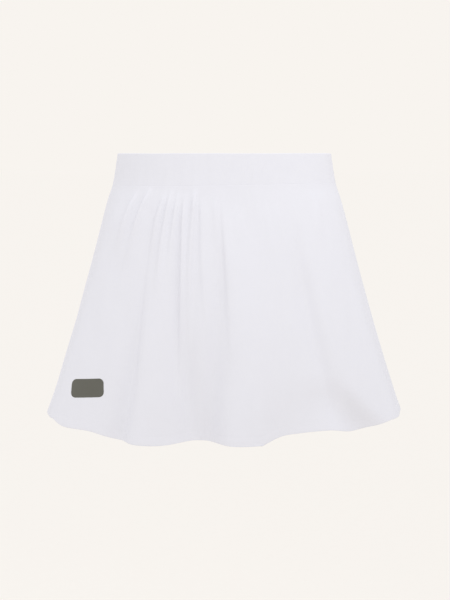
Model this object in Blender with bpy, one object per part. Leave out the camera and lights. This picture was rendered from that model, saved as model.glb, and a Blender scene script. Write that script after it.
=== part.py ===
"""Tennis skirt, built as it is sewn: a two-part waistband over a gathered front and back panel.

The skirt stands as worn, hollow, with its waist and hem open. Units are metres, +Z up. The origin is the centre
of the waistband's ring, halfway down it. The front faces -Y.

A point of the cloth is named by two numbers. Its angle goes round the body in degrees: 0 at the front centre,
90 at the side seam at +X, 180 at the back centre and 270 (or -90) at the side seam at -X. Its drop is how far it
lies below the waistband's top edge.
"""

import math
from typing import Callable, NamedTuple

import bmesh
import bpy
import numpy as np
from mathutils import Vector
from mathutils.bvhtree import BVHTree

BAND_HEIGHT = 0.039  # the waistband, from its top edge to the seam
BAND_WALL = 0.0022  # jersey folded over its elastic
CLOTH_WALL = 0.0012
HEM_WALL = 0.0021  # the cloth where its edge is turned in and stitched
HEM_TURN = 0.012  # how far up the turned edge reaches
SEAM_GAP = 0.0003  # between pieces that are sewn to each other
SEAM_TILT = 0.002  # the band's seam lies lower at the -X side and higher at the +X side

BAND_COLUMNS = 40  # facets along one part of the waistband
BAND_ROWS = 3
PANEL_COLUMNS = 62  # facets along one skirt panel
PANEL_ROWS = 13

MARK_ANGLE = -54.8  # the transfer mark's middle, on the front panel
MARK_DROP = 0.283
MARK_WIDTH = 0.040
MARK_HEIGHT = 0.022
MARK_CORNER = 0.006
MARK_RISE = 0.09  # how far it rises towards the middle, for each metre across
MARK_LEAN = 0.18  # how far it goes towards the middle, for each metre down, which squares its corners
MARK_FILM = 0.0006
MARK_GAP = 0.0004  # between the film and the facets of the panel under it
MARK_COLUMNS = 14
MARK_ROWS = 8
MARK_CAST = 0.02  # how far outside the panel each of its points starts, before it is dropped onto the panel

FRONT = 0.0  # the angle of the middle of each half
BACK = 180.0
CRISP_ANGLE = 50.0  # facets that meet at more than this many degrees keep a crisp edge between them


class Section(NamedTuple):
    """The outline of the skirt seen from above, at one height."""

    drop: float
    half_width: float  # from the middle to a side seam
    front_depth: float  # from the middle to the front
    back_depth: float  # from the middle to the back
    squareness: float  # 2 is an ellipse, and more has fuller corners


SECTIONS = (
    Section(drop=0.000, half_width=0.1340, front_depth=0.090, back_depth=0.093, squareness=2.30),
    Section(drop=0.039, half_width=0.1405, front_depth=0.098, back_depth=0.102, squareness=2.35),
    Section(drop=0.057, half_width=0.1465, front_depth=0.1025, back_depth=0.108, squareness=2.40),
    Section(drop=0.087, half_width=0.1546, front_depth=0.111, back_depth=0.118, squareness=2.45),
    Section(drop=0.150, half_width=0.1710, front_depth=0.127, back_depth=0.138, squareness=2.50),
    Section(drop=0.225, half_width=0.1925, front_depth=0.142, back_depth=0.155, squareness=2.55),
    Section(drop=0.300, half_width=0.2163, front_depth=0.152, back_depth=0.166, squareness=2.60),
    Section(drop=0.350, half_width=0.2350, front_depth=0.157, back_depth=0.171, squareness=2.60),
)


class HemPoint(NamedTuple):
    """How far down the hem hangs at one angle."""

    angle: float
    drop: float


HEM = (
    HemPoint(angle=-90, drop=0.3235),
    HemPoint(angle=-67, drop=0.3235),
    HemPoint(angle=-60, drop=0.3310),
    HemPoint(angle=-52, drop=0.3335),
    HemPoint(angle=-42, drop=0.3430),
    HemPoint(angle=-27, drop=0.3470),
    HemPoint(angle=-13, drop=0.3420),
    HemPoint(angle=3, drop=0.3455),
    HemPoint(angle=14, drop=0.3460),
    HemPoint(angle=27, drop=0.3350),
    HemPoint(angle=43, drop=0.3315),
    HemPoint(angle=54, drop=0.3360),
    HemPoint(angle=66, drop=0.3245),
    HemPoint(angle=90, drop=0.3190),
    HemPoint(angle=108, drop=0.3260),
    HemPoint(angle=122, drop=0.3310),
    HemPoint(angle=141, drop=0.3420),
    HemPoint(angle=160, drop=0.3380),
    HemPoint(angle=181, drop=0.3450),
    HemPoint(angle=204, drop=0.3370),
    HemPoint(angle=222, drop=0.3410),
    HemPoint(angle=236, drop=0.3310),
    HemPoint(angle=252, drop=0.3280),
    HemPoint(angle=270, drop=0.3235),
)


class Fold(NamedTuple):
    """One long fold, which starts under the gathers and grows down to the hem."""

    top_angle: float
    middle_angle: float
    hem_angle: float
    start: float  # the drop where it begins
    half_width: float  # across it, at the hem
    height: float  # how far it stands out at the hem, less than nothing in a valley


FOLDS = (
    Fold(top_angle=-62, middle_angle=-64, hem_angle=-64, start=0.05, half_width=0.036, height=0.009),
    Fold(top_angle=-41, middle_angle=-39, hem_angle=-42, start=0.05, half_width=0.013, height=-0.0085),
    Fold(top_angle=-34, middle_angle=-33.5, hem_angle=-33, start=0.05, half_width=0.021, height=0.010),
    Fold(top_angle=-27, middle_angle=-23, hem_angle=-14, start=0.05, half_width=0.024, height=-0.012),
    Fold(top_angle=1, middle_angle=-3, hem_angle=-6, start=0.09, half_width=0.015, height=-0.011),
    Fold(top_angle=4, middle_angle=9, hem_angle=6, start=0.05, half_width=0.036, height=0.015),
    Fold(top_angle=20, middle_angle=20, hem_angle=21, start=0.26, half_width=0.022, height=-0.003),
    Fold(top_angle=36, middle_angle=36, hem_angle=46, start=0.06, half_width=0.026, height=0.007),
    Fold(top_angle=30, middle_angle=38, hem_angle=54, start=0.20, half_width=0.022, height=-0.006),
    Fold(top_angle=62, middle_angle=66, hem_angle=68, start=0.10, half_width=0.022, height=0.007),
    Fold(top_angle=86, middle_angle=87, hem_angle=88, start=0.16, half_width=0.018, height=-0.003),
    Fold(top_angle=104, middle_angle=106, hem_angle=108, start=0.08, half_width=0.030, height=0.006),
    Fold(top_angle=124, middle_angle=122, hem_angle=120, start=0.06, half_width=0.022, height=-0.008),
    Fold(top_angle=138, middle_angle=140, hem_angle=141, start=0.05, half_width=0.028, height=0.009),
    Fold(top_angle=156, middle_angle=158, hem_angle=160, start=0.06, half_width=0.024, height=-0.008),
    Fold(top_angle=176, middle_angle=178, hem_angle=181, start=0.05, half_width=0.030, height=0.008),
    Fold(top_angle=200, middle_angle=202, hem_angle=205, start=0.09, half_width=0.026, height=-0.007),
    Fold(top_angle=218, middle_angle=220, hem_angle=222, start=0.06, half_width=0.026, height=0.007),
    Fold(top_angle=236, middle_angle=234, hem_angle=231, start=0.05, half_width=0.020, height=-0.009),
    Fold(top_angle=252, middle_angle=253, hem_angle=255, start=0.10, half_width=0.028, height=0.006),
    Fold(top_angle=272, middle_angle=273, hem_angle=275, start=0.14, half_width=0.018, height=-0.003),
)
FOLD_TOP = BAND_HEIGHT  # the drops at which a fold has its top, middle and hem angles
FOLD_BOTTOM = 0.340
FOLD_TOP_WIDTH = 0.45  # a fold's width where it begins, as a part of its width at the hem
FOLD_GROWTH = 1.4  # 1 grows evenly from its start to the hem, and more keeps it flatter at first


class Finish(NamedTuple):
    """The colour (linear), roughness and sheen of one material."""

    name: str
    colour: tuple[float, float, float]
    roughness: float
    sheen: float


BAND_JERSEY = Finish(name="white_polyester_jersey", colour=(0.82, 0.82, 0.84), roughness=0.80, sheen=0.15)
SKIRT_CLOTH = Finish(name="white_woven_polyester", colour=(0.84, 0.84, 0.86), roughness=0.72, sheen=0.20)
MARK_TRANSFER = Finish(name="grey_transfer_film", colour=(0.105, 0.102, 0.087), roughness=0.45, sheen=0.0)

Grid = list[list[tuple[float, float, float] | Vector]]
Line = Callable[[float], float]


def smooth(stations: list[float], values: list[float], at: float) -> float:
    """A smooth curve through the values, which never swings past them, read at one place."""
    stations, values = np.asarray(stations, float), np.asarray(values, float)
    steps = np.diff(stations)
    slopes = np.diff(values) / steps
    tangents = np.zeros(len(values))
    for i in range(1, len(values) - 1):
        before, after = slopes[i - 1], slopes[i]
        if before * after > 0:
            tangents[i] = 2 * before * after / (before + after)
    tangents[0], tangents[-1] = slopes[0], slopes[-1]
    i = int(np.clip(np.searchsorted(stations, at) - 1, 0, len(steps) - 1))
    t = (at - stations[i]) / steps[i]
    start = values[i] * (1 + 2 * t) * (1 - t) ** 2 + tangents[i] * steps[i] * t * (1 - t) ** 2
    end = values[i + 1] * t * t * (3 - 2 * t) - tangents[i + 1] * steps[i] * t * t * (1 - t)
    return float(start + end)


def section_value(column: str, drop: float) -> float:
    """One column of the table of sections, read at any drop."""
    return smooth([row.drop for row in SECTIONS], [getattr(row, column) for row in SECTIONS], drop)


def seam_drop(angle: float) -> float:
    """The drop of the seam between the waistband and the skirt."""
    return BAND_HEIGHT - SEAM_TILT * math.sin(math.radians(angle))


def hem_drop(angle: float) -> float:
    """The drop of the skirt's edge."""
    turn = (angle + 90) % 360 - 90
    return smooth([row.angle for row in HEM], [row.drop for row in HEM], turn)


def plain_radius(angle: float, drop: float) -> float:
    """From the middle out to the skirt's outline at one height, before the folds."""
    sideways, forwards = math.sin(math.radians(angle)), math.cos(math.radians(angle))
    width = section_value("half_width", drop)
    depth = section_value("front_depth" if forwards > 0 else "back_depth", drop)
    power = section_value("squareness", drop)
    return (abs(sideways / width) ** power + abs(forwards / depth) ** power) ** (-1 / power)


def fold_relief(angle: float, drop: float, radius: float) -> float:
    """How far the folds push the cloth out, or in where it is less than nothing."""
    relief = 0.0
    down = (drop - FOLD_TOP) / (FOLD_BOTTOM - FOLD_TOP)
    for fold in FOLDS:
        grown = min(1.0, (drop - fold.start) / (FOLD_BOTTOM - fold.start))
        if grown <= 0:
            continue
        bow = fold.middle_angle - (fold.top_angle + fold.hem_angle) / 2
        centre = fold.top_angle + (fold.hem_angle - fold.top_angle) * down + 4 * bow * down * (1 - down)
        turn = (angle - centre + 180) % 360 - 180
        width = fold.half_width * (FOLD_TOP_WIDTH + (1 - FOLD_TOP_WIDTH) * grown)
        relief += fold.height * grown**FOLD_GROWTH * math.exp(-((math.radians(turn) * radius / width) ** 2))
    return relief


def cloth_point(angle: float, drop: float, out: float) -> tuple[float, float, float]:
    """A point of the cloth, moved out from its outer surface by out, or in where that is less than nothing."""
    radius = plain_radius(angle, drop)
    radius += fold_relief(angle, drop, radius) + out
    across, forwards = math.sin(math.radians(angle)), math.cos(math.radians(angle))
    return (radius * across, -radius * forwards, BAND_HEIGHT / 2 - drop)


def cloth_material(finish: Finish) -> bpy.types.Material:
    """A new material for one of the finishes."""
    material = bpy.data.materials.new(finish.name)
    material.use_nodes = True
    shader = material.node_tree.nodes["Principled BSDF"]
    shader.inputs["Base Color"].default_value = (*finish.colour, 1.0)
    shader.inputs["Roughness"].default_value = finish.roughness
    shader.inputs["Metallic"].default_value = 0.0
    shader.inputs["Sheen Weight"].default_value = finish.sheen
    return material


def add_piece(
    name: str, shape: bmesh.types.BMesh, finish: Finish, parent: bpy.types.Object
) -> bpy.types.Object:
    """Turns a finished shape into a named object under its parent."""
    bmesh.ops.triangulate(shape, faces=shape.faces)
    bmesh.ops.recalc_face_normals(shape, faces=shape.faces)
    mesh = bpy.data.meshes.new(name)
    shape.to_mesh(mesh)
    shape.free()
    mesh.shade_smooth()
    mesh.set_sharp_from_angle(angle=math.radians(CRISP_ANGLE))
    mesh.materials.append(cloth_material(finish))
    piece = bpy.data.objects.new(name, mesh)
    piece.parent = parent
    bpy.context.scene.collection.objects.link(piece)
    return piece


def closed_wall(outer: Grid, inner: Grid) -> bmesh.types.BMesh:
    """A wall between two grids of points that match row for row and column for column."""
    shape = bmesh.new()
    outer, inner = ([[shape.verts.new(point) for point in row] for row in grid] for grid in (outer, inner))
    for grid in (outer, inner):
        for upper, lower in zip(grid, grid[1:]):
            for i in range(len(upper) - 1):
                shape.faces.new((upper[i], upper[i + 1], lower[i + 1], lower[i]))
    outer_rim, inner_rim = rim_of(outer), rim_of(inner)
    for i in range(len(outer_rim)):
        after = (i + 1) % len(outer_rim)
        shape.faces.new((outer_rim[i], outer_rim[after], inner_rim[after], inner_rim[i]))
    return shape


def rim_of(grid: list[list[bmesh.types.BMVert]]) -> list[bmesh.types.BMVert]:
    """The points round the edge of a grid, in order."""
    right = [row[-1] for row in grid[1:-1]]
    left = [row[0] for row in grid[1:-1]]
    return grid[0] + right + grid[-1][::-1] + left[::-1]


def half_ring(
    facing: float,
    columns: int,
    rows: list[float],
    top: Line,
    bottom: Line,
    wall: Line,
) -> bmesh.types.BMesh:
    """Half a ring of cloth, from one side seam to the other, as one closed wall.

    facing is the angle of its middle. rows has how far down each row of points lies, from 0 at the top line to 1
    at the bottom line, and wall gives the cloth's thickness there.
    """
    off_seam = -SEAM_GAP / 2 * math.cos(math.radians(facing))
    layers = []
    for inner in (False, True):
        grid = []
        for row in rows:
            line = []
            for column in range(columns + 1):
                angle = facing - 90 + 180 * column / columns
                drop = top(angle) + row * (bottom(angle) - top(angle))
                x, y, z = cloth_point(angle, drop, -wall(row) if inner else 0.0)
                line.append((x, y + off_seam, z))
            grid.append(line)
        layers.append(grid)
    return closed_wall(*layers)


def waistband(facing: float) -> bmesh.types.BMesh:
    """One half of the waistband."""
    return half_ring(
        facing,
        BAND_COLUMNS,
        rows=[i / BAND_ROWS for i in range(BAND_ROWS + 1)],
        top=lambda angle: 0.0,
        bottom=lambda angle: seam_drop(angle) - SEAM_GAP / 2,
        wall=lambda row: BAND_WALL,
    )


def skirt_panel(facing: float) -> bmesh.types.BMesh:
    """The front or the back panel, with its edge turned in at the hem."""
    length = HEM[0].drop - BAND_HEIGHT
    hem_row = 1 - HEM_TURN / length
    body_rows = [hem_row * i / (PANEL_ROWS - 2) for i in range(PANEL_ROWS - 1)]
    return half_ring(
        facing,
        PANEL_COLUMNS,
        rows=[*body_rows, hem_row + CLOTH_WALL / length, 1.0],
        top=lambda angle: seam_drop(angle) + SEAM_GAP / 2,
        bottom=hem_drop,
        wall=lambda row: HEM_WALL if row > hem_row else CLOTH_WALL,
    )


def drop_onto(facets: BVHTree, angle: float, drop: float, out: float) -> Vector:
    """The point of a panel's outer surface at an angle and a drop, moved out."""
    start = Vector(cloth_point(angle, drop, MARK_CAST))
    inwards = Vector((-start.x, -start.y, 0)).normalized()
    surface = facets.ray_cast(start, inwards)[0]
    return surface - inwards * out


def mark(panel: bpy.types.Object) -> bmesh.types.BMesh:
    """The plain transfer mark: a rectangle of film with round corners, made from the points of its panel."""
    corners = [vertex.co for vertex in panel.data.vertices]
    facets = BVHTree.FromPolygons(corners, [tuple(face.vertices) for face in panel.data.polygons])
    degrees_per_metre = math.degrees(1 / plain_radius(MARK_ANGLE, MARK_DROP))
    layers = []
    for out in (MARK_GAP + MARK_FILM, MARK_GAP):
        grid = []
        for row in range(MARK_ROWS + 1):
            down = -MARK_HEIGHT / 2 * math.cos(math.pi * row / MARK_ROWS)
            into_corner = max(0.0, abs(down) - (MARK_HEIGHT / 2 - MARK_CORNER))
            reach = MARK_WIDTH / 2 - MARK_CORNER + math.sqrt(MARK_CORNER**2 - into_corner**2)
            line = []
            for column in range(MARK_COLUMNS + 1):
                across = reach * (2 * column / MARK_COLUMNS - 1)
                angle = MARK_ANGLE + (across + down * MARK_LEAN) * degrees_per_metre
                drop = MARK_DROP + down - across * MARK_RISE
                line.append(drop_onto(facets, angle, drop, out))
            grid.append(line)
        layers.append(grid)
    return closed_wall(*layers)


def main() -> None:
    """Clears the scene and builds the skirt."""
    for leftover in list(bpy.data.objects):
        bpy.data.objects.remove(leftover)
    skirt = bpy.data.objects.new("tennis_skirt", None)
    bpy.context.scene.collection.objects.link(skirt)
    add_piece("waistband_front", waistband(FRONT), BAND_JERSEY, skirt)
    add_piece("waistband_back", waistband(BACK), BAND_JERSEY, skirt)
    front_panel = add_piece("skirt_front", skirt_panel(FRONT), SKIRT_CLOTH, skirt)
    add_piece("skirt_back", skirt_panel(BACK), SKIRT_CLOTH, skirt)
    add_piece("transfer_mark", mark(front_panel), MARK_TRANSFER, skirt)


main()
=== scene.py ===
"""The looks of a white tennis skirt, worn and hollow: cloth, seams, stitches, transfer mark and studio.

The skirt is sewn from two light woven panels, gathered under a jersey waistband that is folded over its
elastic. Units are metres, +Z up, and the front faces -Y. A point of the cloth is named by its angle and its
drop. The angle goes round the body in degrees: 0 at the front centre, 90 at the side seam at +X, 180 at the
back centre and 270 at the side seam at -X. The drop is how far a point lies below the band's top edge.
"""

import logging
import math
import sys
from dataclasses import dataclass, field
from enum import Enum
from typing import Any, NamedTuple

import bpy
import numpy as np
import numpy.typing as npt
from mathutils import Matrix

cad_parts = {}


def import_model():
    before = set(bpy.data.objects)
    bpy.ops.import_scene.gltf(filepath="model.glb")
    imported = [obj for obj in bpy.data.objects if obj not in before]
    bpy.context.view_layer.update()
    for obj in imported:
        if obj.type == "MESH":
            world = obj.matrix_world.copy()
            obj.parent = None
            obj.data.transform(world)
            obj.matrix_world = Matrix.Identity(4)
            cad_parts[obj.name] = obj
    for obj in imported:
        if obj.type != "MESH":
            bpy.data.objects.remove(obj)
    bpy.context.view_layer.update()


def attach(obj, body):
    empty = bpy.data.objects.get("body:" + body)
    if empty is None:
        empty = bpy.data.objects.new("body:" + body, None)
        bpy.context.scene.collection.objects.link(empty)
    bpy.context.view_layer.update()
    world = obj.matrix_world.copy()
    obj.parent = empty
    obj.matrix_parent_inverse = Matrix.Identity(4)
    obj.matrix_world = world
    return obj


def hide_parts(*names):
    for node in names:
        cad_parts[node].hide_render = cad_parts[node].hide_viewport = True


Array = npt.NDArray[np.float64]
LOG = logging.getLogger("tennis_skirt")
CRISP_ANGLE = 60.0  # faces that meet at more than this many degrees keep a crisp edge between them
PROBE = 0.001  # how far off a piece a second point lies that gives a direction


class Side(Enum):
    """Half of the ring of cloth, named by the angle of its middle."""

    FRONT = 0.0
    BACK = 180.0

    @property
    def word(self) -> str:
        """What the names of its pieces start with: front or back."""
        return self.name.lower()

    @property
    def forwards(self) -> float:
        """1 for the front and -1 for the back."""
        return math.cos(math.radians(self.value))

    def angles(self, reach: float, count: int) -> Array:
        """Even angles round this half, with the same reach to both sides of its middle."""
        return np.linspace(self.value - reach, self.value + reach, count)


class Section(NamedTuple):
    """The outline of the skirt seen from above, at one height."""

    drop: float
    half_width: float
    front_depth: float
    back_depth: float
    squareness: float  # 2 is an ellipse, and more has fuller corners


class HemPoint(NamedTuple):
    """How far down the hem hangs at one angle."""

    angle: float
    drop: float


class Fold(NamedTuple):
    """One long fold, which starts under the gathers and grows down to the hem."""

    top_angle: float
    middle_angle: float
    hem_angle: float
    start: float  # the drop where it begins
    half_width: float  # across it, at the hem
    height: float  # how far it stands out at the hem, less than nothing in a valley


class Crease(NamedTuple):
    """One small fold that has two ends, with a flank of its own steepness on each side."""

    top_angle: float
    end_angle: float
    start: float  # the drop where it begins
    end: float  # the drop where it has died away
    left: float  # how wide its flank at the lower angles is
    right: float  # how wide its flank at the higher angles is
    height: float  # less than nothing in a trough
    bow: float = 0.0  # degrees that its middle lies off the straight line between its ends
    rise: float = 0.1  # the share of its length that it takes to reach its height
    fade: float = 0.35  # the share of its length after which it dies away


class Beat(NamedTuple):
    """One of the sines that make an uneven ripple."""

    pace: float  # how fast it turns, beside the ripple
    phase: float = 0.0
    share: float = 1.0  # how strong it is
    slant: float = 0.0  # how much its phase changes down the cloth


SECTIONS = (
    Section(drop=0.000, half_width=0.1340, front_depth=0.090, back_depth=0.093, squareness=2.30),
    Section(drop=0.039, half_width=0.1405, front_depth=0.098, back_depth=0.102, squareness=2.35),
    Section(drop=0.057, half_width=0.1465, front_depth=0.1025, back_depth=0.108, squareness=2.40),
    Section(drop=0.087, half_width=0.1546, front_depth=0.111, back_depth=0.118, squareness=2.45),
    Section(drop=0.150, half_width=0.1710, front_depth=0.127, back_depth=0.138, squareness=2.50),
    Section(drop=0.225, half_width=0.1925, front_depth=0.142, back_depth=0.155, squareness=2.55),
    Section(drop=0.300, half_width=0.2163, front_depth=0.152, back_depth=0.166, squareness=2.60),
    Section(drop=0.350, half_width=0.2350, front_depth=0.157, back_depth=0.171, squareness=2.60),
)

HEM = (
    HemPoint(angle=-90, drop=0.3235),
    HemPoint(angle=-67, drop=0.3235),
    HemPoint(angle=-60, drop=0.3310),
    HemPoint(angle=-52, drop=0.3335),
    HemPoint(angle=-42, drop=0.3430),
    HemPoint(angle=-27, drop=0.3470),
    HemPoint(angle=-13, drop=0.3420),
    HemPoint(angle=3, drop=0.3455),
    HemPoint(angle=14, drop=0.3460),
    HemPoint(angle=27, drop=0.3350),
    HemPoint(angle=43, drop=0.3315),
    HemPoint(angle=54, drop=0.3360),
    HemPoint(angle=66, drop=0.3245),
    HemPoint(angle=90, drop=0.3190),
    HemPoint(angle=108, drop=0.3260),
    HemPoint(angle=122, drop=0.3310),
    HemPoint(angle=141, drop=0.3420),
    HemPoint(angle=160, drop=0.3380),
    HemPoint(angle=181, drop=0.3450),
    HemPoint(angle=204, drop=0.3370),
    HemPoint(angle=222, drop=0.3410),
    HemPoint(angle=236, drop=0.3310),
    HemPoint(angle=252, drop=0.3280),
    HemPoint(angle=270, drop=0.3235),
)

FOLDS = (
    Fold(top_angle=-62, middle_angle=-64, hem_angle=-64, start=0.05, half_width=0.036, height=0.009),
    Fold(top_angle=-41, middle_angle=-39, hem_angle=-42, start=0.05, half_width=0.013, height=-0.0085),
    Fold(top_angle=-34, middle_angle=-33.5, hem_angle=-33, start=0.05, half_width=0.021, height=0.010),
    Fold(top_angle=-27, middle_angle=-23, hem_angle=-14, start=0.05, half_width=0.024, height=-0.012),
    Fold(top_angle=1, middle_angle=-3, hem_angle=-6, start=0.09, half_width=0.015, height=-0.011),
    Fold(top_angle=4, middle_angle=9, hem_angle=6, start=0.05, half_width=0.036, height=0.015),
    Fold(top_angle=20, middle_angle=20, hem_angle=21, start=0.26, half_width=0.022, height=-0.003),
    Fold(top_angle=36, middle_angle=36, hem_angle=46, start=0.06, half_width=0.026, height=0.007),
    Fold(top_angle=30, middle_angle=38, hem_angle=54, start=0.20, half_width=0.022, height=-0.006),
    Fold(top_angle=62, middle_angle=66, hem_angle=68, start=0.10, half_width=0.022, height=0.007),
    Fold(top_angle=86, middle_angle=87, hem_angle=88, start=0.16, half_width=0.018, height=-0.003),
    Fold(top_angle=104, middle_angle=106, hem_angle=108, start=0.08, half_width=0.030, height=0.006),
    Fold(top_angle=124, middle_angle=122, hem_angle=120, start=0.06, half_width=0.022, height=-0.008),
    Fold(top_angle=138, middle_angle=140, hem_angle=141, start=0.05, half_width=0.028, height=0.009),
    Fold(top_angle=156, middle_angle=158, hem_angle=160, start=0.06, half_width=0.024, height=-0.008),
    Fold(top_angle=176, middle_angle=178, hem_angle=181, start=0.05, half_width=0.030, height=0.008),
    Fold(top_angle=200, middle_angle=202, hem_angle=205, start=0.09, half_width=0.026, height=-0.007),
    Fold(top_angle=218, middle_angle=220, hem_angle=222, start=0.06, half_width=0.026, height=0.007),
    Fold(top_angle=236, middle_angle=234, hem_angle=231, start=0.05, half_width=0.020, height=-0.009),
    Fold(top_angle=252, middle_angle=253, hem_angle=255, start=0.10, half_width=0.028, height=0.006),
    Fold(top_angle=272, middle_angle=273, hem_angle=275, start=0.14, half_width=0.018, height=-0.003),
)

GATHERING = (  # how strongly the seam is gathered at each angle
    (-90, 0.10),
    (-60, 0.10),
    (-50, 0.5),
    (-14, 0.5),
    (0, 0.4),
    (10, 0.25),
    (75, 0.15),
    (90, 0.10),
    (108, 1.0),
    (250, 0.8),
    (270, 0.10),
)

COLUMN_DENSITY = (  # how close together the columns of cloth points stand at each angle
    (-90, 0.6),
    (-62, 0.6),
    (-54, 1.7),
    (-2, 1.7),
    (8, 0.6),
    (90, 0.6),
    (91, 1.0),
    (269, 1.0),
    (270, 0.6),
)

CREASES = (  # the gathers and small folds that show most, from one side of the front round to the other
    # angle at its top and end, drop at its top and end, left and right flank, height
    Crease(-64.0, -63.0, 0.045, 0.360, 0.0200, 0.0380, 0.0040, rise=0.15, fade=0.6),
    Crease(-55.0, -56.5, 0.042, 0.135, 0.0044, 0.0038, 0.0042),
    Crease(-47.4, -50.2, 0.038, 0.150, 0.0036, 0.0044, 0.0046, bow=-0.6),
    Crease(-43.6, -44.0, 0.041, 0.075, 0.0026, 0.0026, 0.0008),
    Crease(-38.4, -39.2, 0.043, 0.125, 0.0036, 0.0035, 0.0033),
    Crease(-39.4, -32.4, 0.060, 0.350, 0.0034, 0.0090, 0.0016, bow=-1.2),
    Crease(-30.0, -23.0, 0.080, 0.345, 0.0100, 0.0070, 0.0030, rise=0.3, fade=0.8),
    Crease(-34.4, -31.4, 0.042, 0.200, 0.0034, 0.0033, 0.0040, bow=-0.9),
    Crease(-30.0, -28.8, 0.044, 0.150, 0.0034, 0.0034, 0.0032),
    Crease(-26.2, -20.2, 0.044, 0.390, 0.0034, 0.0046, 0.0040, bow=2.4),
    Crease(-19.6, -16.8, 0.040, 0.280, 0.0050, 0.0033, 0.0042),
    Crease(-14.9, -4.5, 0.050, 0.260, 0.0038, 0.0080, 0.0020, bow=-0.9),
    Crease(-6.2, -5.0, 0.046, 0.120, 0.0034, 0.0034, 0.0012),
    Crease(-1.6, 4.0, 0.043, 0.290, 0.0027, 0.0090, 0.0031, bow=1.0, rise=0.35),
    Crease(8.0, 9.0, 0.056, 0.130, 0.0060, 0.0080, 0.0007),
    Crease(15.5, 14.5, 0.042, 0.090, 0.0030, 0.0040, 0.0006),
    Crease(20.8, 19.5, 0.042, 0.090, 0.0030, 0.0040, 0.0006),
    Crease(26.4, 24.5, 0.050, 0.150, 0.0050, 0.0034, 0.0010),
    Crease(33.0, 31.0, 0.056, 0.130, 0.0060, 0.0050, 0.0007),
    Crease(40.5, 46.0, 0.055, 0.345, 0.0200, 0.0088, -0.0090, bow=-2.8, rise=0.5, fade=0.8),
    Crease(41.5, 57.5, 0.262, 0.345, 0.0460, 0.0130, -0.0150, rise=0.95, fade=1.0),
    Crease(56.5, 53.0, 0.048, 0.120, 0.0060, 0.0040, 0.0012),
    Crease(78.0, 79.0, 0.048, 0.120, 0.0040, 0.0040, 0.0007),
    # the back
    Crease(98.0, 100.0, 0.043, 0.150, 0.0033, 0.0049, 0.0018),
    Crease(107.0, 108.0, 0.045, 0.100, 0.0033, 0.0043, 0.0016),
    Crease(114.0, 116.0, 0.043, 0.175, 0.0043, 0.0033, 0.0024),
    Crease(120.0, 121.0, 0.045, 0.105, 0.0033, 0.0037, 0.0018),
    Crease(127.0, 131.0, 0.043, 0.250, 0.0049, 0.0033, 0.0030),
    Crease(133.0, 134.0, 0.047, 0.110, 0.0033, 0.0039, 0.0019),
    Crease(139.0, 141.0, 0.043, 0.200, 0.0043, 0.0033, 0.0027),
    Crease(146.0, 147.0, 0.045, 0.120, 0.0033, 0.0039, 0.0018),
    Crease(152.0, 153.0, 0.043, 0.300, 0.0065, 0.0033, 0.0033),
    Crease(159.0, 160.0, 0.047, 0.105, 0.0033, 0.0039, 0.0018),
    Crease(165.0, 167.0, 0.043, 0.190, 0.0039, 0.0033, 0.0025),
    Crease(172.0, 174.0, 0.045, 0.120, 0.0033, 0.0043, 0.0019),
    Crease(178.0, 180.0, 0.043, 0.330, 0.0076, 0.0033, 0.0036),
    Crease(185.0, 186.0, 0.047, 0.100, 0.0033, 0.0039, 0.0016),
    Crease(191.0, 192.0, 0.043, 0.130, 0.0039, 0.0033, 0.0024),
    Crease(198.0, 200.0, 0.045, 0.240, 0.0054, 0.0033, 0.0025),
    Crease(204.0, 205.0, 0.047, 0.110, 0.0033, 0.0037, 0.0018),
    Crease(211.0, 214.0, 0.043, 0.210, 0.0039, 0.0033, 0.0027),
    Crease(217.0, 218.0, 0.045, 0.105, 0.0033, 0.0039, 0.0018),
    Crease(224.0, 226.0, 0.043, 0.290, 0.0059, 0.0033, 0.0030),
    Crease(231.0, 232.0, 0.047, 0.110, 0.0033, 0.0039, 0.0018),
    Crease(238.0, 240.0, 0.043, 0.190, 0.0043, 0.0033, 0.0024),
    Crease(247.0, 249.0, 0.045, 0.105, 0.0033, 0.0043, 0.0015),
    Crease(257.0, 259.0, 0.043, 0.130, 0.0043, 0.0033, 0.0018),
)


def smooth(stations: list[float], values: list[float], at: Array) -> Array:
    """A smooth curve through the values, which never swings past them.

    Args:
        stations: where the values stand, in rising order.
        values: one value for each station.
        at: the places to read.

    Returns:
        The curve at those places.
    """
    stations, values = np.asarray(stations, float), np.asarray(values, float)
    steps = np.diff(stations)
    slopes = np.diff(values) / steps
    before, after = slopes[:-1], slopes[1:]
    level = np.where(before * after > 0, before + after, 1.0)
    inner = np.where(before * after > 0, 2 * before * after / level, 0.0)
    tangents = np.concatenate((slopes[:1], inner, slopes[-1:]))
    i = np.clip(np.searchsorted(stations, at) - 1, 0, len(steps) - 1)
    t = (at - stations[i]) / steps[i]
    start = values[i] * (1 + 2 * t) * (1 - t) ** 2 + tangents[i] * steps[i] * t * (1 - t) ** 2
    end = values[i + 1] * t * t * (3 - 2 * t) - tangents[i + 1] * steps[i] * t * t * (1 - t)
    return start + end


def ripple(turns: Array, beats: tuple[Beat, ...], down: Array | float = 0.0) -> Array:
    """An uneven ripple, which is the sum of its beats.

    Args:
        turns: how far along the ripple each point is, which the pace of a beat turns into radians.
        beats: the sines that it is made of.
        down: how far down the cloth each point is.

    Returns:
        The ripple's height at each point.
    """
    return sum(beat.share * np.sin(beat.pace * turns + beat.phase + beat.slant * down) for beat in beats)


def ease(share: Array) -> Array:
    """Rises softly from 0 to 1 as the share does, and stays level beyond."""
    share = np.clip(share, 0.0, 1.0)
    return share * share * (3 - 2 * share)


def turned(angle: Array) -> Array:
    """The same angle between -180 and 180."""
    return (angle + 180) % 360 - 180


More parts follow.
